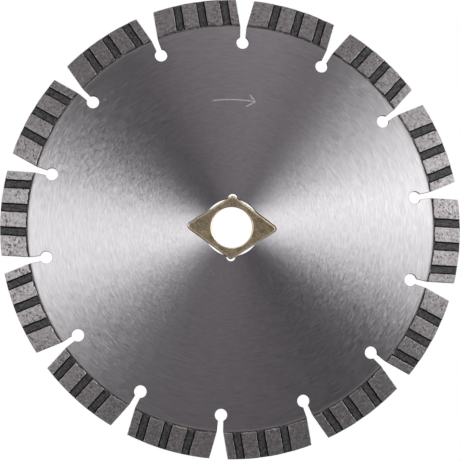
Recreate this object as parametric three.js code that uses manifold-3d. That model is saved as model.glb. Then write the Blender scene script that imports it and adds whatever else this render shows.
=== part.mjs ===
// A 7 inch segmented diamond blade with a diamond-shaped knockout arbor.
//
// Millimetres. The blade lies flat: +Z is its axis and points out of the front face, the origin is the middle
// of the bore, and +X runs along the long diagonal of the arbor insert. The steel core carries fourteen
// sintered segments, each on a diamond-free weld foot, and a loose arbor insert reduces the core's hole to a
// round bore. Seen from the front, clockwise on the +Y axis is towards +X.

import * as THREE from "three";
import { mergeVertices } from "three/addons/utils/BufferGeometryUtils.js";
import Module from "manifold-3d";

const wasm = await Module();
wasm.setup();

const INCH = 25.4;
const rad = THREE.MathUtils.degToRad;

// Blade and rim
const BLADE_RADIUS = (7 * INCH) / 2;
const SEGMENT_COUNT = 14;
const PITCH_DEG = 360 / SEGMENT_COUNT;
const FIRST_GULLET_DEG = 11.6; // measured from the long diagonal of the arbor hole

// Segment: a block with parallel ends, pressed with staggered cooling grooves on its two sides
const SEGMENT_LENGTH = 32.5;
const SEGMENT_HEIGHT = 9.4;
const SEGMENT_THICKNESS = 2.4;
const GROOVES_PER_SIDE = 3;
const GROOVE_WIDTH = 3.1;
const GROOVE_PITCH = 9.1;
const GROOVE_SHIFT = 2.25; // middle groove of the front side, clockwise of the segment's centreline
const GROOVE_DEPTH = 0.5;

// Weld foot: the strip under the diamond layer that is laser welded to the core
const FOOT_HEIGHT = 0.8;
const FOOT_THICKNESS = 2.1;
const WELD_GAP = 0.1;

// Core
const CORE_THICKNESS = 1.8;
const CORE_RADIUS = BLADE_RADIUS - SEGMENT_HEIGHT - FOOT_HEIGHT - 2 * WELD_GAP;
const GULLET_HOLE_CENTRE = 72.15;
const GULLET_HOLE_RADIUS = 2.4;
const SLOT_WIDTH_AT_HOLE = 2.1;
const SLOT_WIDTH_AT_RIM = 2.5;

// Arbor hole: a 7/8 inch circle, joined with a diamond and a corner relief at each short tip of the diamond
const ROUND_ARBOR_RADIUS = ((7 / 8) * INCH) / 2;
const DIAMOND_EDGE_DEG = 34.5; // between an edge and the long diagonal
const DIAMOND_HALF_FLATS = 10.4;
const RELIEF_CENTRE = 11.3;
const RELIEF_RADIUS = 1.8;

// Arbor insert: fills the diamond, and holds the 5/8 inch bore
const BORE_RADIUS = ((5 / 8) * INCH) / 2;
const INSERT_THICKNESS = 1.6;
const INSERT_CLEARANCE = 0.1;
const INSERT_LONG_TIP_RADIUS = 1.45;
const INSERT_SHORT_TIP_RADIUS = 1.2;
const INSERT_CHAMFER = 0.3;

// Steps in each round stretch; an arc is drawn with twice this many straight pieces
const RIM_STEPS = 84;
const SEGMENT_ARC_STEPS = 5;
const GULLET_HOLE_STEPS = 12;
const ARBOR_STEPS = 32;
const INSERT_STEPS = 16;
const SMALL_ARC_STEPS = 4;

const CUT_PAST = 1; // how far a cutter reaches past the face that it cuts

const steel = new THREE.MeshStandardMaterial({ color: 0xb9b7ba, roughness: 0.3, metalness: 1 });
const sinteredMatrix = new THREE.MeshStandardMaterial({ color: 0x8c8785, roughness: 0.7, metalness: 0.6 });
const weldedSteel = new THREE.MeshStandardMaterial({ color: 0x3b3736, roughness: 0.6, metalness: 0.7 });
const yellowPlate = new THREE.MeshStandardMaterial({ color: 0x8a7850, roughness: 0.35, metalness: 1 });

// ---- Solids ----

function solidOf(geometry) {
  const bare = geometry.clone();
  bare.deleteAttribute("normal");
  bare.deleteAttribute("uv");
  const merged = mergeVertices(bare);
  return new wasm.Manifold(
    new wasm.Mesh({
      numProp: 3,
      vertProperties: merged.attributes.position.array,
      triVerts: new Uint32Array(merged.index.array),
    }),
  );
}

function geometryOf(solid) {
  const mesh = solid.getMesh();
  const indexed = new THREE.BufferGeometry();
  indexed.setAttribute("position", new THREE.BufferAttribute(mesh.vertProperties, mesh.numProp));
  indexed.setIndex(new THREE.BufferAttribute(mesh.triVerts, 1));
  const faceted = indexed.toNonIndexed();
  faceted.computeVertexNormals();
  return faceted;
}

// A flat plate of the shape, half of its thickness on each side of the blade's middle plane.
function plate(shape, thickness, curveSegments) {
  const geometry = new THREE.ExtrudeGeometry(shape, { depth: thickness, bevelEnabled: false, curveSegments });
  return geometry.translate(0, 0, -thickness / 2);
}

function disc(x, y, radius) {
  return new THREE.Shape().absarc(x, y, radius, 0, 2 * Math.PI);
}

// ---- Outlines ----

// A diamond with rounded tips, its long diagonal along X. halfFlats is how far its edges lie from the middle.
function diamond(halfFlats, longTipRadius, shortTipRadius) {
  const edge = rad(DIAMOND_EDGE_DEG);
  const edgeNormal = Math.PI / 2 - edge;
  const longTip = (halfFlats - longTipRadius) / Math.sin(edge);
  const shortTip = (halfFlats - shortTipRadius) / Math.cos(edge);
  const shape = new THREE.Shape();
  shape.absarc(longTip, 0, longTipRadius, -edgeNormal, edgeNormal);
  shape.absarc(0, shortTip, shortTipRadius, edgeNormal, Math.PI - edgeNormal);
  shape.absarc(-longTip, 0, longTipRadius, Math.PI - edgeNormal, Math.PI + edgeNormal);
  shape.absarc(0, -shortTip, shortTipRadius, Math.PI + edgeNormal, 2 * Math.PI - edgeNormal);
  shape.closePath();
  return shape;
}

// A stretch of a ring, centred on the +Y axis and wide enough to hold a whole segment.
function ringStretch(innerRadius, outerRadius) {
  const from = rad(90 - PITCH_DEG / 2);
  const to = rad(90 + PITCH_DEG / 2);
  const shape = new THREE.Shape();
  shape.absarc(0, 0, outerRadius, from, to);
  shape.absarc(0, 0, innerRadius, to, from, true);
  shape.closePath();
  return shape;
}

// The tapered slot that opens a gullet to the rim, on the +Y axis.
function slot() {
  const reach = CORE_RADIUS + CUT_PAST;
  const taper = (SLOT_WIDTH_AT_RIM - SLOT_WIDTH_AT_HOLE) / (CORE_RADIUS - GULLET_HOLE_CENTRE);
  const outer = (SLOT_WIDTH_AT_RIM + taper * CUT_PAST) / 2;
  const inner = SLOT_WIDTH_AT_HOLE / 2;
  return new THREE.Shape([
    new THREE.Vector2(inner, GULLET_HOLE_CENTRE),
    new THREE.Vector2(outer, reach),
    new THREE.Vector2(-outer, reach),
    new THREE.Vector2(-inner, GULLET_HOLE_CENTRE),
  ]);
}

// Where the grooves' centrelines lie across a segment, on the front side. The back side has the same row as
// seen from behind, so the two rows are staggered and the segment looks the same when it is turned over.
function grooveCentres() {
  const middle = (GROOVES_PER_SIDE - 1) / 2;
  return Array.from({ length: GROOVES_PER_SIDE }, (_, i) => GROOVE_SHIFT + (i - middle) * GROOVE_PITCH);
}

// The segment's section across the blade: X along the segment and Y through its thickness, with the grooves.
function groovedSection() {
  const face = SEGMENT_THICKNESS / 2;
  const floor = face - GROOVE_DEPTH;
  const halfGroove = GROOVE_WIDTH / 2;
  const half = [new THREE.Vector2(-SEGMENT_LENGTH / 2, face)];
  for (const centre of grooveCentres()) {
    half.push(new THREE.Vector2(centre - halfGroove, face), new THREE.Vector2(centre - halfGroove, floor));
    half.push(new THREE.Vector2(centre + halfGroove, floor), new THREE.Vector2(centre + halfGroove, face));
  }
  half.push(new THREE.Vector2(SEGMENT_LENGTH / 2, face));
  const turnedOver = half.map((p) => new THREE.Vector2(-p.x, -p.y));
  return new THREE.Shape([...half, ...turnedOver]);
}

function plainSection(thickness) {
  const x = SEGMENT_LENGTH / 2;
  const y = thickness / 2;
  return new THREE.Shape([
    new THREE.Vector2(-x, -y),
    new THREE.Vector2(x, -y),
    new THREE.Vector2(x, y),
    new THREE.Vector2(-x, y),
  ]);
}

// A bar with that section, lying along the +Y axis and trimmed to the ring between the two radii.
function rimBar(section, innerRadius, outerRadius) {
  const farEnd = outerRadius + CUT_PAST;
  const bar = new THREE.ExtrudeGeometry(section, { depth: farEnd, bevelEnabled: false });
  // The section's Y axis turns to Z, through the blade, and the bar then runs from its far end to the middle.
  bar.rotateX(Math.PI / 2).translate(0, farEnd, 0);
  const through = SEGMENT_THICKNESS + 2 * CUT_PAST;
  const ring = plate(ringStretch(innerRadius, outerRadius), through, SEGMENT_ARC_STEPS);
  return geometryOf(solidOf(bar).intersect(solidOf(ring)));
}

// ---- Sub-parts ----

function coreGeometry() {
  const through = CORE_THICKNESS + 2 * CUT_PAST;
  const notchTipRadius = INSERT_LONG_TIP_RADIUS + INSERT_CLEARANCE;
  let core = solidOf(plate(disc(0, 0, CORE_RADIUS), CORE_THICKNESS, RIM_STEPS));

  const arborCuts = [
    plate(disc(0, 0, ROUND_ARBOR_RADIUS), through, ARBOR_STEPS),
    plate(diamond(DIAMOND_HALF_FLATS, notchTipRadius, notchTipRadius), through, SMALL_ARC_STEPS),
    plate(disc(0, RELIEF_CENTRE, RELIEF_RADIUS), through, GULLET_HOLE_STEPS),
    plate(disc(0, -RELIEF_CENTRE, RELIEF_RADIUS), through, GULLET_HOLE_STEPS),
  ];
  for (const cut of arborCuts) core = core.subtract(solidOf(cut));

  const hole = solidOf(plate(disc(0, GULLET_HOLE_CENTRE, GULLET_HOLE_RADIUS), through, GULLET_HOLE_STEPS));
  const gullet = hole.add(solidOf(plate(slot(), through, 1)));
  for (let i = 0; i < SEGMENT_COUNT; i++) {
    core = core.subtract(gullet.rotate([0, 0, gulletTurnDeg(i)]));
  }
  return geometryOf(core);
}

function insertGeometry() {
  const halfFlats = DIAMOND_HALF_FLATS - INSERT_CLEARANCE;
  const shape = diamond(halfFlats, INSERT_LONG_TIP_RADIUS, INSERT_SHORT_TIP_RADIUS);
  shape.holes.push(new THREE.Path().absarc(0, 0, BORE_RADIUS, 0, 2 * Math.PI, true));
  const geometry = new THREE.ExtrudeGeometry(shape, {
    depth: INSERT_THICKNESS - 2 * INSERT_CHAMFER,
    bevelThickness: INSERT_CHAMFER,
    bevelSize: INSERT_CHAMFER,
    bevelOffset: -INSERT_CHAMFER,
    bevelSegments: 1,
    curveSegments: INSERT_STEPS,
  });
  return geometry.translate(0, 0, INSERT_CHAMFER - INSERT_THICKNESS / 2);
}

function segmentGeometry() {
  return rimBar(groovedSection(), BLADE_RADIUS - SEGMENT_HEIGHT, BLADE_RADIUS);
}

function footGeometry() {
  const innerRadius = CORE_RADIUS + WELD_GAP;
  return rimBar(plainSection(FOOT_THICKNESS), innerRadius, innerRadius + FOOT_HEIGHT);
}

// ---- Assembly ----

// How far a piece drawn on the +Y axis turns to reach gullet i, or segment i, which follows that gullet.
function gulletTurnDeg(i) {
  return FIRST_GULLET_DEG + i * PITCH_DEG - 90;
}

function segmentTurnDeg(i) {
  return gulletTurnDeg(i) + PITCH_DEG / 2;
}

function named(name, geometry, material) {
  const mesh = new THREE.Mesh(geometry, material);
  mesh.name = name;
  return mesh;
}

function diamondBlade() {
  const blade = new THREE.Group();
  blade.add(named("steel_core", coreGeometry(), steel));
  blade.add(named("arbor_insert", insertGeometry(), yellowPlate));

  const segment = segmentGeometry();
  const foot = footGeometry();
  for (let i = 0; i < SEGMENT_COUNT; i++) {
    const number = String(i + 1).padStart(2, "0");
    const place = new THREE.Group();
    place.rotation.z = rad(segmentTurnDeg(i));
    place.add(named(`segment_${number}`, segment, sinteredMatrix));
    place.add(named(`weld_foot_${number}`, foot, weldedSteel));
    blade.add(place);
  }
  return blade;
}

export default diamondBlade();
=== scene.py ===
"""The looks of a segmented diamond blade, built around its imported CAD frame.

Metres, in the CAD frame: +Z is the blade's axis and points out of its front face, and +X runs along the long
diagonal of the arbor insert. A piece of the rim is drawn where it would stand on the +Y axis, with X along it
and clockwise as seen from the front, and is then turned to its own place.
"""

import math
from collections import namedtuple
from functools import cache

import bpy
import numpy as np
from mathutils import Matrix, Vector
from mathutils.geometry import tessellate_polygon


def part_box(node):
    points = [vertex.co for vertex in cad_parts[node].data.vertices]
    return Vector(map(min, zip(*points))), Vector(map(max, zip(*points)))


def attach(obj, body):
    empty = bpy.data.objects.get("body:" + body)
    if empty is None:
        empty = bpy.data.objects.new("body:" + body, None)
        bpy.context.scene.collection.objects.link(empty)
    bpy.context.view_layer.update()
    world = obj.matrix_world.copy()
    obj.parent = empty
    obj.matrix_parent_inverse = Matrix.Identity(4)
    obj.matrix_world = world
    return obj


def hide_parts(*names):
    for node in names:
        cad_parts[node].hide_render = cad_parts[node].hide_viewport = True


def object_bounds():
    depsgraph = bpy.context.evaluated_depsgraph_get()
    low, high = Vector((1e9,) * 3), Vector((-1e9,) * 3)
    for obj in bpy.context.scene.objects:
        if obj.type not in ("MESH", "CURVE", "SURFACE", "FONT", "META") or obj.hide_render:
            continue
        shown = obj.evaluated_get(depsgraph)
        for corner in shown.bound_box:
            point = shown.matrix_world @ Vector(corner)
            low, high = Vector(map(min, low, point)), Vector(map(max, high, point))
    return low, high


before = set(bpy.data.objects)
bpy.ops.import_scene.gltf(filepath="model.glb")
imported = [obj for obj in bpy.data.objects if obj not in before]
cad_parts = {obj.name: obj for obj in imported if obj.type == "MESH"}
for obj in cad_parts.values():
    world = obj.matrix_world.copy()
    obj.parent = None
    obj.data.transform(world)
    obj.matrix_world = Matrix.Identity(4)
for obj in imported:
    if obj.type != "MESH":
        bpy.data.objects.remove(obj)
cad_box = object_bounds()

MM = 0.001

# The rim and its gullets, as in the CAD model
SEGMENT_COUNT = 14
PITCH = 2 * math.pi / SEGMENT_COUNT
FIRST_GULLET = math.radians(11.6)
GULLET_CENTRE = 72.15 * MM
GULLET_RADIUS = 2.4 * MM
SLOT_WIDTH_AT_HOLE = 2.1 * MM
SLOT_WIDTH_AT_RIM = 2.5 * MM

# The grooves of a segment. The middle one lies clockwise of the segment's centreline by the shift.
GROOVE_SHIFT_MM = 2.25
GROOVE_PITCH_MM = 9.1
GROOVE_CENTRES = [(GROOVE_SHIFT_MM + step * GROOVE_PITCH_MM) * MM for step in (-1, 0, 1)]
GROOVE_WIDTH = 3.1 * MM
GROOVE_DEPTH = 0.5 * MM

# The arbor hole and its insert
ROUND_ARBOR_RADIUS = 11.1125 * MM
DIAMOND_EDGE = math.radians(34.5)
HOLE_HALF_FLATS = 10.4 * MM
HOLE_TIP_RADIUS = 1.55 * MM
RELIEF_CENTRE = 11.3 * MM
RELIEF_RADIUS = 1.8 * MM
INSERT_HALF_FLATS = 10.3 * MM
INSERT_LONG_TIP_RADIUS = 1.45 * MM
INSERT_SHORT_TIP_RADIUS = 1.2 * MM
BORE_RADIUS = 7.9375 * MM


# ---- Measures taken from the frame ----


def points_of(node):
    """The vertices of a CAD node, one row each."""
    return np.array([v.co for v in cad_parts[node].data.vertices])


def top_of(node):
    """How far the node reaches above the blade's middle plane."""
    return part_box(node)[1].z


RIM_RADIUS = min(cad_box[1].x, cad_box[1].y)
CORE_RADIUS = np.hypot(*points_of("steel_core")[:, :2].T).max()


class RimPiece:
    """Where a CAD node of the rim lies: its radii, half its length along the rim, and its turn from +Y."""

    def __init__(self, node):
        places = points_of(node)
        radii = np.hypot(places[:, 0], places[:, 1])
        middle = places.mean(axis=0)
        direction = np.array([middle[0], middle[1], 0]) / math.hypot(middle[0], middle[1])
        across = np.cross(direction, [0, 0, 1])
        self.inner = radii.min()
        self.outer = min(radii.max(), RIM_RADIUS)
        self.half_length = (places @ across).max()
        self.half_thickness = top_of(node)
        self.turn = Matrix.Rotation(math.atan2(-direction[0], direction[1]), 4, "Z")


# ---- Camera ----

CAMERA_DISTANCE = 0.690
CAMERA_LEAN_X = math.radians(-3.89)
CAMERA_LEAN_Y = math.radians(-4.69)
CAMERA_ROLL = math.radians(2.05)  # how far the blade's long diagonal is turned clockwise in the picture
CAMERA_AIM = (-0.76 * MM, -1.25 * MM)  # off the blade's middle, along the picture's own axes
CAMERA_LENS_MM = 139.8
CAMERA_SENSOR_MM = 36


def aim(obj, place, target, up):
    """Stands obj at place, looking at target with its own -Z axis, with up at its top."""
    back = (place - target).normalized()
    right = up.cross(back).normalized()
    turn = Matrix((right, back.cross(right), back)).transposed()
    obj.matrix_world = Matrix.Translation(place) @ turn.to_4x4()


def make_camera():
    data = bpy.data.cameras.new("camera")
    data.lens = CAMERA_LENS_MM
    data.sensor_width = CAMERA_SENSOR_MM
    camera = bpy.data.objects.new("camera", data)
    bpy.context.scene.collection.objects.link(camera)
    roll = Matrix.Rotation(CAMERA_ROLL, 3, "Z")
    face = Vector((0, 0, top_of("steel_core")))
    lean = Vector((math.tan(CAMERA_LEAN_X), math.tan(CAMERA_LEAN_Y), 1)).normalized()
    place = face + roll @ (lean * CAMERA_DISTANCE)
    target = face + roll @ Vector((*CAMERA_AIM, 0))
    aim(camera, place, target, roll @ Vector((0, 1, 0)))
    bpy.context.scene.camera = camera


# ---- Lights and floor ----

WHITE = (1, 1, 1)
MAUVE = (1, 0.93, 0.985)
FAR = 0.9
NEAR = 0.35

# Low strips close to the blade, which make its rough rim stand out: azimuth, radiance and colour
STRIP_POLAR = 72
STRIP_WIDTH = 0.25
STRIP_HEIGHT = 0.1
LOW_STRIPS = [
    (0, 5.8, WHITE),
    (30, 6.6, WHITE),
    (90, 3.1, MAUVE),
    (130, 0.8, MAUVE),
    (162, 1.3, WHITE),
    (180, 2.2, WHITE),
]

# A softbox has its azimuth from +X and its polar angle from straight above in degrees, and its distance,
# width and height in metres.
Softbox = namedtuple("Softbox", "azimuth polar distance width height radiance colour")
SOFTBOXES = [
    # The two that make the bright sectors of the brushed steel
    Softbox(12.9, 44.7, FAR, 0.48, 0.5, 2.6, WHITE),
    Softbox(182, 45, FAR, 0.6, 0.5, 2.95, WHITE),
    # Two weak ones overhead, which lift its dark sectors
    Softbox(60, 25, FAR, 0.4, 0.4, 0.52, MAUVE),
    Softbox(180, 25, FAR, 0.4, 0.4, 0.7, WHITE),
    *(
        Softbox(azimuth, STRIP_POLAR, NEAR, STRIP_WIDTH, STRIP_HEIGHT, radiance, colour)
        for azimuth, radiance, colour in LOW_STRIPS
    ),
]
WORLD_STRENGTH = 0.027

FLOOR_SIZE = 4.0
FLOOR_ALBEDO = 0.5
FLOOR_GLOW = 1.0


def make_softbox(number, box):
    data = bpy.data.lights.new(f"softbox_{number}", "AREA")
    data.shape = "RECTANGLE"
    data.size = box.width
    data.size_y = box.height
    data.energy = box.radiance * math.pi * box.width * box.height
    data.color = box.colour
    light = bpy.data.objects.new(data.name, data)
    light.visible_camera = False
    bpy.context.scene.collection.objects.link(light)
    azimuth, polar = math.radians(box.azimuth), math.radians(box.polar)
    level = math.sin(polar)
    direction = Vector((level * math.cos(azimuth), level * math.sin(azimuth), math.cos(polar)))
    aim(light, direction * box.distance, Vector((0, 0, 0)), Vector((0, 0, 1)))


def floor_paper():
    """Grey paper that glows white for the camera alone, so that its glow doesn't reach the blade."""
    n = Nodes("floor_paper")
    seen = n.add("ShaderNodeLightPath").outputs["Is Camera Ray"]
    paper = (FLOOR_ALBEDO, FLOOR_ALBEDO, FLOOR_ALBEDO, 1)
    n.link(n.mix(seen, paper, (0, 0, 0, 1)), n.shader.inputs["Base Color"])
    n.link(1.0, n.shader.inputs["Roughness"])
    n.link(0.0, n.shader.inputs["Specular IOR Level"])
    n.link((1, 1, 1, 1), n.shader.inputs["Emission Color"])
    n.link(n.math("MULTIPLY", seen, FLOOR_GLOW), n.shader.inputs["Emission Strength"])
    return n.material


def make_floor():
    half = FLOOR_SIZE / 2
    low = cad_box[0].z
    mesh = bpy.data.meshes.new("floor")
    corners = [(-half, -half, low), (half, -half, low), (half, half, low), (-half, half, low)]
    mesh.from_pydata(corners, [], [(0, 1, 2, 3)])
    mesh.materials.append(floor_paper())
    floor = bpy.data.objects.new("floor", mesh)
    bpy.context.scene.collection.objects.link(floor)


def make_studio():
    for number, box in enumerate(SOFTBOXES, 1):
        make_softbox(number, box)
    world = bpy.data.worlds.new("studio")
    world.use_nodes = True
    world.node_tree.nodes["Background"].inputs["Color"].default_value = (*MAUVE, 1)
    world.node_tree.nodes["Background"].inputs["Strength"].default_value = WORLD_STRENGTH
    bpy.context.scene.world = world
    bpy.context.scene.view_settings.view_transform = "Standard"
    make_floor()


# ---- Noise ----

SEED = 7
NOISE_CELLS = 64


def ease(t):
    """Rises smoothly from 0 to 1 as t does, and stays there outside."""
    t = np.clip(t, 0, 1)
    return t * t * (3 - 2 * t)


class Noise:
    """Smooth random values from -1 to 1 over a plane, the same ones for the same generator."""

    def __init__(self, rng):
        self.table = rng.uniform(-1, 1, (NOISE_CELLS, NOISE_CELLS))

    def __call__(self, u, v):
        i, j = np.floor(u).astype(int), np.floor(v).astype(int)
        s, t = ease(u - i), ease(v - j)

        def corner(di, dj):
            return self.table[(i + di) % NOISE_CELLS, (j + dj) % NOISE_CELLS]

        low = corner(0, 0) * (1 - s) + corner(1, 0) * s
        high = corner(0, 1) * (1 - s) + corner(1, 1) * s
        return low * (1 - t) + high * t


# ---- Meshes ----


def make_piece(name, points, faces, smooth=None):
    """A mesh object. smooth holds True for each face that is shaded round."""
    mesh = bpy.data.meshes.new(name)
    mesh.from_pydata([tuple(p) for p in points], [], faces)
    if smooth is not None:
        mesh.polygons.foreach_set("use_smooth", smooth)
    mesh.update()
    piece = bpy.data.objects.new(name, mesh)
    bpy.context.scene.collection.objects.link(piece)
    return piece


def store(piece, name, values, rest):
    """Keeps a number per vertex on the mesh, for its material. The vertices after the values get the rest."""
    full = np.full(len(piece.data.vertices), rest, np.float32)
    full[: len(values)] = values
    piece.data.attributes.new(name, "FLOAT", "POINT").data.foreach_set("value", full)


def arc(middle, radius, start, end, step):
    """Points on an arc, both ends included."""
    count = max(2, math.ceil(abs(end - start) * radius / step) + 1)
    return [
        (middle[0] + radius * math.cos(a), middle[1] + radius * math.sin(a))
        for a in np.linspace(start, end, count)
    ]


def outward(loop):
    """The unit vector at each point of a closed outline that points to its right, out of the material."""
    ahead = np.roll(loop, -1, axis=0) - loop
    ahead /= np.linalg.norm(ahead, axis=1, keepdims=True)
    behind = np.roll(ahead, 1, axis=0)
    normals = np.stack([ahead[:, 1], -ahead[:, 0]], axis=1)
    before = np.stack([behind[:, 1], -behind[:, 0]], axis=1)
    mitre = normals + before
    return mitre / np.maximum((mitre * normals).sum(axis=1, keepdims=True), 0.5)


EDGE_STEPS = 5


def rolled(width, drop):
    """The profile of a rounded edge: how far inside the outline and under the face each step lies."""
    angles = np.linspace(0, math.pi / 2, EDGE_STEPS + 1)
    return [(width * (1 - math.sin(a)), drop * (1 - math.cos(a))) for a in angles]


def slab(name, loops, half_thickness, edges):
    """A plate bounded by the loops: first its outline, counter-clockwise, then its holes, clockwise.

    Each loop's edge has its own profile, the same on both faces. The walls take the piece's second material,
    and the attribute "drop" says how far down the edge a point is, from 0 on the face to 1 on the wall.
    """
    points, drops, faces, walls, caps = [], [], [], [], ([], [])
    for loop, edge in zip(loops, edges):
        loop = np.array(loop)
        normals = outward(loop)
        profile = [(inset, half_thickness - drop) for inset, drop in edge]
        profile += [(inset, -height) for inset, height in reversed(profile)]
        first, count = len(points), len(loop)
        for inset, height in profile:
            drops += [(half_thickness - abs(height)) / edge[-1][1]] * count
            for x, y in loop - normals * inset:
                points.append((x, y, height))
        for ring in range(len(profile) - 1):
            a, b = first + ring * count, first + (ring + 1) * count
            for i in range(count):
                j = (i + 1) % count
                faces.append((a + i, b + i, b + j, a + j))
                walls.append(True)
        last = first + (len(profile) - 1) * count
        caps[0].append(range(first, first + count))
        caps[1].append(range(last, last + count))
    for side, rings in enumerate(caps):
        indices = [i for ring in rings for i in ring]
        outlines = [[Vector((points[i][0], points[i][1], 0)) for i in ring] for ring in rings]
        for a, b, c in tessellate_polygon(outlines):
            corners = [indices[a], indices[b], indices[c]]
            (ax, ay, _), (bx, by, _), (cx, cy, _) = (points[i] for i in corners)
            turns_left = (bx - ax) * (cy - ay) - (by - ay) * (cx - ax) > 0
            if turns_left == (side == 1):
                corners.reverse()
            faces.append(tuple(corners))
            walls.append(False)
    piece = make_piece(name, points, faces, walls)
    piece.data.polygons.foreach_set("material_index", np.array(walls, np.int32))
    store(piece, "drop", drops, 0)
    return piece


# ---- Core ----

RIM_STEP = 0.7 * MM
FINE_STEP = 0.2 * MM
CORE_EDGE = rolled(0.1 * MM, 0.1 * MM)
POLAR_STEPS = 720


def gullet(turn):
    """The outline of one gullet, from its clockwise corner at the rim to the other, turned away from +Y."""
    neck = SLOT_WIDTH_AT_HOLE / 2
    mouth = SLOT_WIDTH_AT_RIM / 2
    neck_angle = math.acos(neck / GULLET_RADIUS)
    mouth_y = math.sqrt(CORE_RADIUS**2 - mouth**2)
    hole = arc((0, GULLET_CENTRE), GULLET_RADIUS, neck_angle, -math.pi - neck_angle, FINE_STEP)
    c, s = math.cos(turn), math.sin(turn)
    return [(c * x - s * y, s * x + c * y) for x, y in [(mouth, mouth_y), *hole, (-mouth, mouth_y)]]


def core_outline():
    half_mouth = math.asin(SLOT_WIDTH_AT_RIM / 2 / CORE_RADIUS)
    outline = []
    for i in range(SEGMENT_COUNT):
        angle = FIRST_GULLET + i * PITCH
        outline += gullet(angle - math.pi / 2)
        rim = arc((0, 0), CORE_RADIUS, angle + half_mouth, angle + PITCH - half_mouth, RIM_STEP)
        outline += rim[1:-1]
    return outline


def diamond_reach(angle, half_flats, long_tip, short_tip):
    """How far a diamond with rounded tips reaches from its middle at that angle."""
    dx, dy = abs(math.cos(angle)), abs(math.sin(angle))
    nx, ny = math.sin(DIAMOND_EDGE), math.cos(DIAMOND_EDGE)
    long_centre = (half_flats - long_tip) / nx
    short_centre = (half_flats - short_tip) / ny
    if dy * (long_centre + long_tip * nx) < dx * long_tip * ny:
        return long_centre * dx + math.sqrt(long_tip**2 - (long_centre * dy) ** 2)
    if dx * (short_centre + short_tip * ny) < dy * short_tip * nx:
        return short_centre * dy + math.sqrt(short_tip**2 - (short_centre * dx) ** 2)
    return half_flats / (dx * nx + dy * ny)


def relief_reach(angle):
    """How far the two corner reliefs of the arbor hole reach at that angle, or 0 beside them."""
    off_axis = RELIEF_CENTRE * abs(math.cos(angle))
    if off_axis >= RELIEF_RADIUS:
        return 0
    return RELIEF_CENTRE * abs(math.sin(angle)) + math.sqrt(RELIEF_RADIUS**2 - off_axis**2)


def around(reach, clockwise):
    """A closed outline round the middle, from how far it reaches at each angle."""
    angles = np.linspace(0, 2 * math.pi, POLAR_STEPS, endpoint=False)
    if clockwise:
        angles = angles[::-1]
    return [(reach(a) * math.cos(a), reach(a) * math.sin(a)) for a in angles]


def arbor_hole():
    def reach(angle):
        diamond = diamond_reach(angle, HOLE_HALF_FLATS, HOLE_TIP_RADIUS, HOLE_TIP_RADIUS)
        return max(ROUND_ARBOR_RADIUS, diamond, relief_reach(angle))

    return around(reach, clockwise=True)


def make_core():
    loops = [core_outline(), arbor_hole()]
    core = slab("ground_core", loops, top_of("steel_core"), [CORE_EDGE, CORE_EDGE])
    core.data.materials.append(brushed_steel())
    core.data.materials.append(laser_cut())
    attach(core, "blade")
    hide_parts("steel_core")


# ---- Arbor insert ----

INSERT_EDGE = rolled(0.7 * MM, 0.4 * MM)
BORE_EDGE = rolled(0.4 * MM, 0.4 * MM)


def make_insert():
    def reach(angle):
        return diamond_reach(angle, INSERT_HALF_FLATS, INSERT_LONG_TIP_RADIUS, INSERT_SHORT_TIP_RADIUS)

    loops = [around(reach, clockwise=False), around(lambda angle: BORE_RADIUS, clockwise=True)]
    insert = slab("plated_insert", loops, top_of("arbor_insert"), [INSERT_EDGE, BORE_EDGE])
    for _ in range(2):  # its faces and its walls
        insert.data.materials.append(yellow_plate())
    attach(insert, "insert")
    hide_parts("arbor_insert")


# ---- Segments and weld feet ----

SEGMENT_STEP = 0.2 * MM
WALL_LAYERS = 6
SHARP_ANGLE = math.radians(50)
FINE_OFFSETS = np.array([-0.18, -0.09, 0, 0.09, 0.18]) * MM  # of the grid lines at each edge of the relief
GROOVE_WALL = 0.5 * MM  # how wide the sloped side of a groove is, seen from the front
GROOVE_WANDER = 0.07 * MM  # how far a groove's edge strays
GROOVE_WANDER_STEP = 1.1 * MM
GROOVE_WANDER_SPREAD = 3.7  # how far apart in the noise two edges lie, for each millimetre between them
TRENCH_DEPTH = 0.28 * MM  # of the narrow trench along each side of a groove's floor
TRENCH_PLACE = 0.12 * MM  # its middle, in from the groove's edge
TRENCH_HALF_WIDTH = 0.28 * MM
SEGMENT_REACH = 0.5 * MM  # how far a segment reaches down past its CAD solid, to its weld
INNER_WAVE = 0.24 * MM
INNER_WAVE_STEPS = (2.6 * MM, 0.7 * MM)
RIM_WAVE = 0.05 * MM
RIM_WAVE_STEP = 1.9 * MM
INNER_BEVEL = 0.45 * MM
END_BEVEL = 0.13 * MM
BEVEL_STEP = 1.2 * MM
GRAIN = 0.02 * MM
GRAIN_STEP = 0.4 * MM
COARSE_STEPS = (1.1 * MM, 0.7 * MM)
RIDGE_STEPS = (0.35 * MM, 1.8 * MM)
PITS_PER_SIDE = 75
PIT_SHARES = (0.08, 0.97)  # where pits lie, from the inner edge, at 0, to the rim, at 1
PIT_DEPTH = 0.14 * MM
PIT_HALF_LENGTHS_MM = (0.18, 0.5)
PIT_HALF_WIDTHS_MM = (0.12, 0.22)
PIT_TURN = 0.6
PIT_CLUSTER = 2.6 * MM  # how wide the crowded and the bare patches are
PIT_CHANCE = (-0.6, 0.5)  # a pit is kept where the cluster noise is above a draw from this span
PIT_RAGGED_STEP = 0.22 * MM


def groove_edges():
    return [centre + side * GROOVE_WIDTH / 2 for centre in GROOVE_CENTRES for side in (-1, 1)]


def grid_lines(low, high, edges, step):
    """Even grid lines from low to high, with finer ones at both ends and at each edge between them."""
    fine = np.concatenate([edge + FINE_OFFSETS for edge in (low, high, *edges)])
    fine = fine[(fine >= low) & (fine <= high)]
    even = np.linspace(low, high, round((high - low) / step) + 1)
    clear = [x for x in even if np.abs(fine - x).min() > step / 2]
    return np.sort(np.concatenate([clear, fine]))


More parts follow.
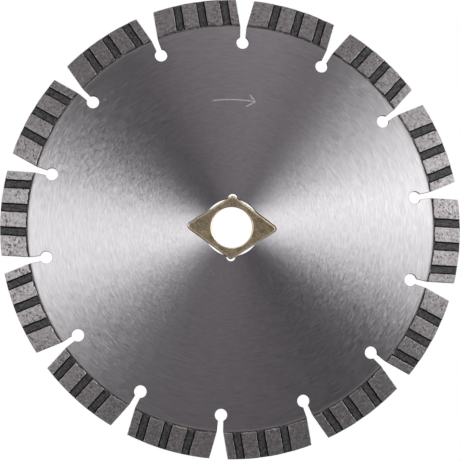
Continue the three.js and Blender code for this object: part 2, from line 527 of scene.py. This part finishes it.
def closed_grid(name, upper, lower):
    """A closed piece between two grids of points that share their rows and columns, with walls in layers."""
    rows, cols = upper.shape[:2]
    count = rows * cols
    index = np.arange(count).reshape(rows, cols)
    edge = np.concatenate([index[:-1, 0], index[-1, :-1], index[:0:-1, -1], index[0, :0:-1]])
    top, bottom = upper.reshape(-1, 3), lower.reshape(-1, 3)
    shares = np.linspace(0, 1, WALL_LAYERS + 1)[1:-1, None, None]
    walls = top[edge] * (1 - shares) + bottom[edge] * shares
    points = np.concatenate([top, bottom, walls.reshape(-1, 3)])
    a, b = index[:-1, :-1].ravel(), index[1:, :-1].ravel()
    c, d = index[1:, 1:].ravel(), index[:-1, 1:].ravel()
    faces = [np.stack([a, b, c, d], axis=1), np.stack([d, c, b, a], axis=1) + count]
    around_edge = np.arange(len(edge))
    layers = [2 * count + len(edge) * layer + around_edge for layer in range(WALL_LAYERS - 1)]
    rings = [edge, *layers, edge + count]
    for high, low in zip(rings[:-1], rings[1:]):
        faces.append(np.stack([high, low, np.roll(low, -1), np.roll(high, -1)], axis=1))
    faces = np.concatenate(faces)
    piece = make_piece(name, points, faces.tolist(), [True] * len(faces))
    piece.data.set_sharp_from_angle(angle=SHARP_ANGLE)
    return piece


def bevel(distance, width):
    """How far a rounded edge has dropped at a distance in from its outline."""
    share = np.clip(1 - distance / width, 0, 1)
    return width * (1 - np.sqrt(1 - share**2))


class SegmentFace:
    """One side of a segment. x runs along the rim and up from 0 at the segment's middle, r is the radius."""

    def __init__(self, rng, spot):
        self.spot = spot
        self.wander, self.wave, self.rough = Noise(rng), Noise(rng), Noise(rng)
        self.grain, self.coarse, self.ridges = Noise(rng), Noise(rng), Noise(rng)
        self.inner = spot.inner - SEGMENT_REACH
        height = spot.outer - self.inner
        self.pits = []
        while len(self.pits) < PITS_PER_SIDE:
            x = rng.uniform(-spot.half_length, spot.half_length)
            r = self.inner + height * rng.uniform(*PIT_SHARES)
            if self.coarse(x / PIT_CLUSTER, r / PIT_CLUSTER) < rng.uniform(*PIT_CHANCE):
                continue
            self.pits.append(
                {
                    "x": x,
                    "r": r,
                    "long": rng.uniform(*PIT_HALF_LENGTHS_MM) * MM,
                    "wide": rng.uniform(*PIT_HALF_WIDTHS_MM) * MM,
                    "turn": rng.normal(0, PIT_TURN),
                    "depth": rng.uniform(0.4, 1),
                }
            )

    def radii(self, x, share):
        """The radius at a share of the way from the wavy inner edge to the rim.

        Each wave follows a line of its own through the noise, given by the fixed second coordinate.
        """
        wave = self.wave(x / INNER_WAVE_STEPS[0], 5.0) + 0.5 * self.wave(x / INNER_WAVE_STEPS[1], 9.0)
        inner = self.inner + INNER_WAVE * wave
        outer = self.spot.outer - RIM_WAVE * (1 + self.wave(x / RIM_WAVE_STEP, 13.0)) / 2
        return inner + (outer - inner) * share

    def shift(self, x, r):
        """How far a point moves along the segment, so that the grooves' edges wander."""
        total = np.zeros_like(x)
        for edge in groove_edges():
            near = ease(1 - np.abs(x - edge) / GROOVE_WANDER_STEP)
            total += near * self.wander(edge / MM * GROOVE_WANDER_SPREAD, r / GROOVE_WANDER_STEP)
        return total * GROOVE_WANDER

    def groove(self, x):
        """How deep in a groove a point lies, 0 on the lands and 1 on the floor, and its trench's depth."""
        inside = np.max([GROOVE_WIDTH / 2 - np.abs(x - centre) for centre in GROOVE_CENTRES], axis=0)
        trench = TRENCH_DEPTH * ease(1 - np.abs(inside - TRENCH_PLACE) / TRENCH_HALF_WIDTH)
        return ease(inside / GROOVE_WALL + 0.5), trench

    def pitting(self, x, r):
        """How deep in a pit a point lies, from 0 to 1."""
        depth = np.zeros_like(x)
        ragged = 1 + 0.5 * self.rough(x / PIT_RAGGED_STEP, r / PIT_RAGGED_STEP)
        for pit in self.pits:
            c, s = math.cos(pit["turn"]), math.sin(pit["turn"])
            along = ((x - pit["x"]) * c + (r - pit["r"]) * s) / pit["long"]
            across = ((r - pit["r"]) * c - (x - pit["x"]) * s) / pit["wide"]
            depth = np.maximum(depth, ease(1.5 - np.hypot(along, across) * ragged) * pit["depth"])
        return depth

    def relief(self, x, share):
        """The radius, the depth under the side's plane, and the shares of groove and pit at each point."""
        r = self.radii(x, share)
        groove, trench = self.groove(x)
        pit = self.pitting(x, r) * (1 - groove)
        grain = self.grain(x / GRAIN_STEP, r / GRAIN_STEP)
        grain = grain + self.coarse(x / COARSE_STEPS[0], r / COARSE_STEPS[1])
        ridges = self.ridges(x / RIDGE_STEPS[0], r / RIDGE_STEPS[1])
        land = GRAIN * (1 + 0.5 * grain) + pit * PIT_DEPTH
        floor = GROOVE_DEPTH + GRAIN * (2.0 * ridges + 1.5 * grain)
        depth = land * (1 - groove) + (floor + trench) * groove
        ragged = 1 + 0.5 * self.rough(x / BEVEL_STEP, 21 + r / BEVEL_STEP)
        foot = bevel(r - self.radii(x, 0), INNER_BEVEL * ragged)
        rim = bevel(self.radii(x, 1) - r, END_BEVEL * ragged)
        ends = bevel(self.spot.half_length - np.abs(x), END_BEVEL * ragged)
        return r, depth + foot + rim + ends, groove, pit


def make_segment(node, rng):
    spot = RimPiece(node)
    edges = groove_edges()
    xs = grid_lines(-spot.half_length, spot.half_length, edges + [-edge for edge in edges], SEGMENT_STEP)
    height = spot.outer - spot.inner + SEGMENT_REACH
    shares = grid_lines(0, height, [], SEGMENT_STEP) / height
    x, share = np.meshgrid(xs, shares, indexing="ij")
    sides, grooves, pits = [], [], []
    for sign in (1, -1):  # the front, and the back as seen from behind
        face = SegmentFace(rng, spot)
        r, depth, groove, pit = face.relief(sign * x, share)
        moved = x + sign * face.shift(sign * x, r)
        y = np.sqrt(r**2 - moved**2)
        sides.append(np.stack([moved, y, sign * (spot.half_thickness - depth)], axis=-1))
        grooves.append(groove.ravel())
        pits.append(pit.ravel())
    segment = closed_grid(node.replace("segment", "sintered_segment"), *sides)
    store(segment, "groove", np.concatenate(grooves), 1)
    store(segment, "pit", np.concatenate(pits), 0)
    segment.data.transform(spot.turn)
    segment.data.materials.append(sintered())
    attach(segment, "blade")
    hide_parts(node)


WELD_STEP = 0.12 * MM
WELD_INNER = 0.12 * MM  # how far the weld reaches in under the rounded edge of the core
WELD_OUTER = 0.75 * MM  # how far it reaches out from there, under the segment
WELD_TOP = 0.08 * MM  # how far it lies under the core's face at its inner edge
WELD_DIP = 0.4 * MM
WELD_LUMP_STEP = 1.5 * MM
WELD_RIPPLE = 0.07 * MM
WELD_RIPPLE_STEP = 0.28 * MM
WELD_DEPTHS = (0.03 * MM, 0.7 * MM)  # the least and the most


def make_weld(node, rng):
    """A weld: a rippled valley between the core and its segment, which closes the gap between them."""
    spot = RimPiece(node)
    inner, outer = CORE_RADIUS - WELD_INNER, CORE_RADIUS + WELD_OUTER
    xs = np.linspace(-spot.half_length, spot.half_length, round(2 * spot.half_length / WELD_STEP) + 1)
    rs = np.linspace(inner, outer, round((outer - inner) / WELD_STEP) + 1)
    x, r = np.meshgrid(xs, rs, indexing="ij")
    y = np.sqrt(r**2 - x**2)
    sides = []
    for sign in (1, -1):
        ripple, lump = Noise(rng), Noise(rng)
        share = (r - inner) / (outer - inner)
        dip = WELD_DIP * ease(share * 2.5) * (1 + 0.4 * lump(x / WELD_LUMP_STEP, share))
        rough = WELD_RIPPLE * ripple(x / WELD_RIPPLE_STEP, share * 3)
        top = top_of("steel_core") - np.clip(WELD_TOP + dip + rough, *WELD_DEPTHS)
        sides.append(np.stack([x, y, sign * top], axis=-1))
    weld = closed_grid(node.replace("weld_foot", "weld_bead"), *sides)
    weld.data.transform(spot.turn)
    weld.data.materials.append(weld_oxide())
    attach(weld, "blade")
    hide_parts(node)


# ---- Direction arrow ----

ARROW_RADIUS = 49.7 * MM
ARROW_START = math.radians(100.5)
ARROW_END = math.radians(81.5)
ARROW_WIDTH = 0.42 * MM
ARROW_HEIGHT = 0.012 * MM
ARROW_BARBS = [(math.radians(-41), 3.5 * MM), (math.radians(38), 4.1 * MM)]  # turn from the shaft, and length


def stroke(path, width, low, high):
    """Points and faces of a flat closed bar that follows a path of points."""
    path = np.array(path)
    ahead = np.gradient(path, axis=0)
    ahead /= np.linalg.norm(ahead, axis=1, keepdims=True)
    side = np.stack([-ahead[:, 1], ahead[:, 0]], axis=1) * width / 2
    corners = [(path + side, high), (path - side, high), (path - side, low), (path + side, low)]
    points = [(x, y, z) for line, z in corners for x, y in line]
    count = len(path)
    faces = []
    for ring in range(4):
        a, b = ring * count, (ring + 1) % 4 * count
        faces += [(a + i, b + i, b + i + 1, a + i + 1) for i in range(count - 1)]
    faces.append((0, 3 * count, 2 * count, count))
    faces.append((count - 1, 2 * count - 1, 3 * count - 1, 4 * count - 1))
    return points, faces


def make_arrow():
    """The rotation arrow on the front of the core: an arc with two barbs at its clockwise end.

    The etched lines are drawn as thin raised strokes, each a little higher than the one before it.
    """
    face = top_of("steel_core")
    shaft = arc((0, 0), ARROW_RADIUS, ARROW_START, ARROW_END, MM)
    tip = np.array(shaft[-1])
    back = ARROW_END + math.pi / 2
    paths = [shaft]
    for spread, length in ARROW_BARBS:
        direction = np.array([math.cos(back + spread), math.sin(back + spread)])
        paths.append([tip + direction * length * share for share in np.linspace(0, 1, 8)])
    points, faces = [], []
    for level, path in enumerate(paths):
        lift = ARROW_HEIGHT * (1 + level / 4)
        more_points, more_faces = stroke(path, ARROW_WIDTH, face - ARROW_HEIGHT, face + lift)
        faces += [tuple(i + len(points) for i in f) for f in more_faces]
        points += more_points
    arrow = make_piece("etched_arrow", points, faces)
    arrow.data.materials.append(etched_mark())
    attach(arrow, "blade")


# ---- Materials ----


class Nodes:
    """A small helper that adds shader nodes to a material and links them."""

    def __init__(self, name):
        self.material = bpy.data.materials.new(name)
        self.material.use_nodes = True
        self.tree = self.material.node_tree
        self.shader = self.tree.nodes["Principled BSDF"]

    def add(self, kind, **settings):
        node = self.tree.nodes.new(kind)
        for key, value in settings.items():
            setattr(node, key, value)
        return node

    def link(self, value, socket):
        if isinstance(value, bpy.types.NodeSocket):
            self.tree.links.new(value, socket)
        else:
            socket.default_value = value

    def math(self, operation, a, b=0.0, clamp=False):
        node = self.add("ShaderNodeMath", operation=operation, use_clamp=clamp)
        self.link(a, node.inputs[0])
        self.link(b, node.inputs[1])
        return node.outputs[0]

    def vector(self, operation, a, b=(0, 0, 0)):
        node = self.add("ShaderNodeVectorMath", operation=operation)
        self.link(a, node.inputs[0])
        self.link(b, node.inputs[1])
        return node.outputs["Value" if operation in ("LENGTH", "DOT_PRODUCT") else "Vector"]

    def scaled(self, vector, scale):
        node = self.add("ShaderNodeVectorMath", operation="SCALE")
        self.link(vector, node.inputs[0])
        self.link(scale, node.inputs["Scale"])
        return node.outputs["Vector"]

    def noise(self, coordinates, scale=1.0, detail=2.0, roughness=0.5):
        """Noise from 0 to 1, with scale as the number of its cells in each unit of the coordinates."""
        node = self.add("ShaderNodeTexNoise")
        self.link(coordinates, node.inputs["Vector"])
        node.inputs["Scale"].default_value = scale
        node.inputs["Detail"].default_value = detail
        node.inputs["Roughness"].default_value = roughness
        return node.outputs["Fac"]

    def span(self, value, low, high, to_low=0.0, to_high=1.0):
        """Goes from to_low to to_high as the value goes from low to high, and stays there outside."""
        node = self.add("ShaderNodeMapRange", clamp=True)
        for socket, number in zip(node.inputs, (value, low, high, to_low, to_high)):
            self.link(number, socket)
        return node.outputs["Result"]

    def mix(self, share, a, b):
        node = self.add("ShaderNodeMix", data_type="RGBA")
        sockets = {s.identifier: s for s in node.inputs}
        self.link(share, sockets["Factor_Float"])
        self.link(a, sockets["A_Color"])
        self.link(b, sockets["B_Color"])
        return next(s for s in node.outputs if s.identifier == "Result_Color")

    def attribute(self, name):
        return self.add("ShaderNodeAttribute", attribute_name=name).outputs["Fac"]

    def bump(self, height, strength, distance):
        node = self.add("ShaderNodeBump")
        node.inputs["Strength"].default_value = strength
        node.inputs["Distance"].default_value = distance
        self.link(height, node.inputs["Height"])
        self.link(node.outputs["Normal"], self.shader.inputs["Normal"])

    def place(self):
        return self.add("ShaderNodeTexCoord").outputs["Object"]

    def polar(self):
        """The place, the distance from the axis, and the unit vector away from the axis."""
        place = self.place()
        flat = self.vector("MULTIPLY", place, (1, 1, 0))
        return place, self.vector("LENGTH", flat), self.vector("NORMALIZE", flat)

    def streaks(self, radius, direction, length, width):
        """Noise drawn out round the axis: length is in radians and width in metres."""
        height = self.add("ShaderNodeCombineXYZ")
        self.link(self.math("MULTIPLY", radius, 1 / width), height.inputs["Z"])
        return self.vector("ADD", self.scaled(direction, 1 / length), height.outputs[0])

    def brush(self, direction, tilt):
        """Sets the grain round the axis, turned a little at random by tilt."""
        around = self.vector("CROSS_PRODUCT", (0, 0, 1), direction)
        across = self.vector("ADD", direction, self.scaled(around, tilt))
        self.link(across, self.shader.inputs["Tangent"])


# Base colours. A pair runs from the darkest tone of a surface to its lightest.
STEEL = (0.5, 0.486, 0.5, 1), (0.75, 0.73, 0.755, 1)
HEAT_TINT = (0.12, 0.108, 0.105, 1)
CUT_EDGE = (0.035, 0.033, 0.033, 1), (0.1, 0.095, 0.093, 1)
LAND = (0.25, 0.233, 0.235, 1), (0.53, 0.503, 0.508, 1)
PIT = (0.14, 0.125, 0.12, 1)
GROOVE_FLOOR = (0.016, 0.0155, 0.0165, 1), (0.115, 0.112, 0.119, 1)
# Near-black on the sloped sides of the grooves: painted shade, with dark residue in the corners
GROOVE_SIDE_SHADE = (0.004, 0.004, 0.004, 1)
WELD = (0.02, 0.018, 0.018, 1), (0.11, 0.1, 0.1, 1)
WELD_BEAD = (0.34, 0.29, 0.25, 1)
WELD_BROWN = (0.2, 0.18, 0.17, 1)
PLATING = (0.27, 0.205, 0.125, 1), (0.82, 0.66, 0.457, 1)
# A painted highlight along the insert's rounded edges, and painted shade on its walls under them
PLATING_HIGHLIGHT = (1.0, 0.86, 0.6, 1)
SHADED_PLATING = (0.08, 0.055, 0.03, 1)
ETCHING = (0.24, 0.234, 0.24, 1), (0.62, 0.605, 0.62, 1)

TINT_WIDTH = 1.1 * MM
BROWN_WIDTH = 0.25 * MM


def brushed_steel():
    """Steel ground in circles: streaks in colour, roughness and grain, and a heat tint beside the welds."""
    n = Nodes("brushed_steel")
    _, radius, direction = n.polar()
    broad = n.noise(n.streaks(radius, direction, 0.11, 0.55 * MM))
    fine = n.noise(n.streaks(radius, direction, 0.05, 0.24 * MM), detail=3.0, roughness=0.65)
    scratches = n.vector("ADD", n.streaks(radius, direction, 0.035, 0.16 * MM), (7, 3, 5))
    turned = n.noise(scratches, detail=3.0, roughness=0.7)
    cloud = n.noise(n.place(), 0.9 / MM, 3.0)
    tone = n.math("ADD", n.math("MULTIPLY", broad, 0.35), n.math("MULTIPLY", fine, 0.65))
    clean = n.mix(n.span(tone, 0.3, 0.7), *STEEL)
    edge = n.math("POWER", n.span(radius, CORE_RADIUS - TINT_WIDTH, CORE_RADIUS), 2.0)
    heat = n.math("MULTIPLY", edge, n.span(cloud, 0.3, 0.7, 0.6, 1.0))
    n.link(n.mix(heat, clean, HEAT_TINT), n.shader.inputs["Base Color"])
    n.link(n.span(heat, 0.0, 1.0, 1.0, 0.4), n.shader.inputs["Metallic"])
    n.link(0.9, n.shader.inputs["Anisotropic"])
    rough = n.math("ADD", n.span(fine, 0.3, 0.7, 0.35, 0.53), n.math("MULTIPLY", heat, 0.2))
    n.link(rough, n.shader.inputs["Roughness"])
    n.brush(direction, n.math("MULTIPLY", n.math("SUBTRACT", turned, 0.5), 1.1))
    n.bump(fine, 0.35, 0.01 * MM)
    return n.material


def laser_cut():
    """The laser-cut edge of the core: dark oxide, striped across the plate's thickness."""
    n = Nodes("laser_cut")
    stripes = n.noise(n.vector("MULTIPLY", n.place(), (1, 1, 0.12)), 4.5 / MM)
    n.link(n.mix(n.span(stripes, 0.3, 0.7), *CUT_EDGE), n.shader.inputs["Base Color"])
    n.link(0.5, n.shader.inputs["Metallic"])
    n.link(n.span(stripes, 0.3, 0.7, 0.5, 0.7), n.shader.inputs["Roughness"])
    n.bump(stripes, 0.5, 0.03 * MM)
    return n.material


@cache
def sintered():
    """Sintered metal: lands ground grey with dark pits, charcoal floors in the pressed grooves, and painted
    shade on their sloped sides.
    """
    n = Nodes("sintered_metal")
    place, radius, direction = n.polar()
    fine = n.noise(place, 3.6 / MM, 3.0, 0.6)
    broad = n.noise(place, 1.1 / MM, 3.0, 0.6)
    rub = n.noise(n.streaks(radius, direction, 0.02, 0.2 * MM), detail=3.0, roughness=0.6)
    groove, pit = n.attribute("groove"), n.attribute("pit")
    worn = n.math("ADD", n.math("MULTIPLY", broad, 0.5), n.math("MULTIPLY", rub, 0.5))
    land = n.mix(n.span(worn, 0.4, 0.6), *LAND)
    land = n.mix(n.span(pit, 0.05, 0.35), land, PIT)
    drawn = n.noise(n.streaks(radius, direction, 0.0035, 1.4 * MM), detail=3.0, roughness=0.6)
    pressed = n.math("ADD", n.math("MULTIPLY", broad, 0.4), n.math("MULTIPLY", drawn, 0.6))
    floor = n.mix(n.span(pressed, 0.38, 0.62), *GROOVE_FLOOR)
    # Painted shade on the grooves' sloped sides, where side peaks between land and floor
    side = n.math("MULTIPLY", groove, n.math("SUBTRACT", 1.0, groove))
    floor = n.mix(n.span(side, 0.01, 0.07), floor, GROOVE_SIDE_SHADE)
    n.link(n.mix(n.span(groove, 0.03, 0.1), land, floor), n.shader.inputs["Base Color"])
    ground = n.math("MULTIPLY", n.span(groove, 0.02, 0.1, 1.0, 0.0), n.span(pit, 0.1, 0.5, 1.0, 0.0))
    n.link(n.span(ground, 0.0, 1.0, 0.1, 0.8), n.shader.inputs["Metallic"])
    n.link(n.span(ground, 0.0, 1.0, 0.8, 0.45), n.shader.inputs["Roughness"])
    n.link(0.85, n.shader.inputs["Anisotropic"])
    n.link(0.2, n.shader.inputs["Specular IOR Level"])
    n.brush(direction, n.math("MULTIPLY", n.math("SUBTRACT", fine, 0.5), 0.5))
    n.bump(fine, 0.4, 0.04 * MM)
    return n.material


@cache
def weld_oxide():
    """The laser weld: near-black oxide with pale beads, brown beside the core."""
    n = Nodes("weld_oxide")
    place, radius, _ = n.polar()
    fine = n.noise(place, 3.2 / MM, 3.0, 0.6)
    brown = n.span(radius, CORE_RADIUS, CORE_RADIUS + BROWN_WIDTH, 1.0, 0.0)
    tone = n.mix(n.span(fine, 0.38, 0.62), *WELD)
    beads = n.span(n.noise(place, 1.3 / MM), 0.52, 0.62)
    tone = n.mix(beads, tone, WELD_BEAD)
    n.link(n.mix(brown, tone, WELD_BROWN), n.shader.inputs["Base Color"])
    n.link(n.span(fine, 0.3, 0.7, 0.55, 0.8), n.shader.inputs["Roughness"])
    n.link(0.1, n.shader.inputs["Metallic"])
    n.bump(fine, 0.5, 0.03 * MM)
    return n.material


@cache
def yellow_plate():
    """Yellow plating on stamped steel: gold brown and mottled, with a painted highlight along its edges and
    painted shade under them.
    """
    n = Nodes("mottled_plating")
    place, drop = n.place(), n.attribute("drop")
    mottle = n.noise(place, 2.6 / MM, 3.0, 0.6)
    patch = n.noise(place, 0.42 / MM)
    tone = n.math("ADD", n.math("MULTIPLY", mottle, 0.65), n.math("MULTIPLY", patch, 0.35))
    colour = n.mix(n.span(tone, 0.4, 0.6), *PLATING)
    # A painted highlight in a band a little way down the rounded edges, and painted shade from there down
    # over the walls
    highlight_band = n.math("MULTIPLY", n.span(drop, 0.0, 0.05), n.span(drop, 0.2, 0.4, 1.0, 0.0))
    colour = n.mix(n.math("MULTIPLY", highlight_band, n.span(mottle, 0.3, 0.55)), colour, PLATING_HIGHLIGHT)
    colour = n.mix(n.span(drop, 0.45, 0.9), colour, SHADED_PLATING)
    n.link(colour, n.shader.inputs["Base Color"])
    n.link(1.0, n.shader.inputs["Metallic"])
    rough = n.math("ADD", n.span(mottle, 0.3, 0.7, 0.3, 0.42), n.math("MULTIPLY", highlight_band, 0.12))
    n.link(rough, n.shader.inputs["Roughness"])
    n.bump(mottle, 0.6, 0.05 * MM)
    return n.material


def etched_mark():
    """The frosted line of an etched mark."""
    n = Nodes("etched_mark")
    fine = n.noise(n.place(), 3.0 / MM)
    n.link(n.mix(n.span(fine, 0.3, 0.7), *ETCHING), n.shader.inputs["Base Color"])
    n.link(0.3, n.shader.inputs["Metallic"])
    n.link(0.7, n.shader.inputs["Roughness"])
    n.bump(fine, 0.3, 0.01 * MM)
    return n.material


# ---- The scene ----

make_camera()
make_studio()
make_core()
make_insert()
make_arrow()
rng = np.random.default_rng(SEED)
for number in range(1, SEGMENT_COUNT + 1):
    make_segment(f"segment_{number:02d}", rng)
    make_weld(f"weld_foot_{number:02d}", rng)
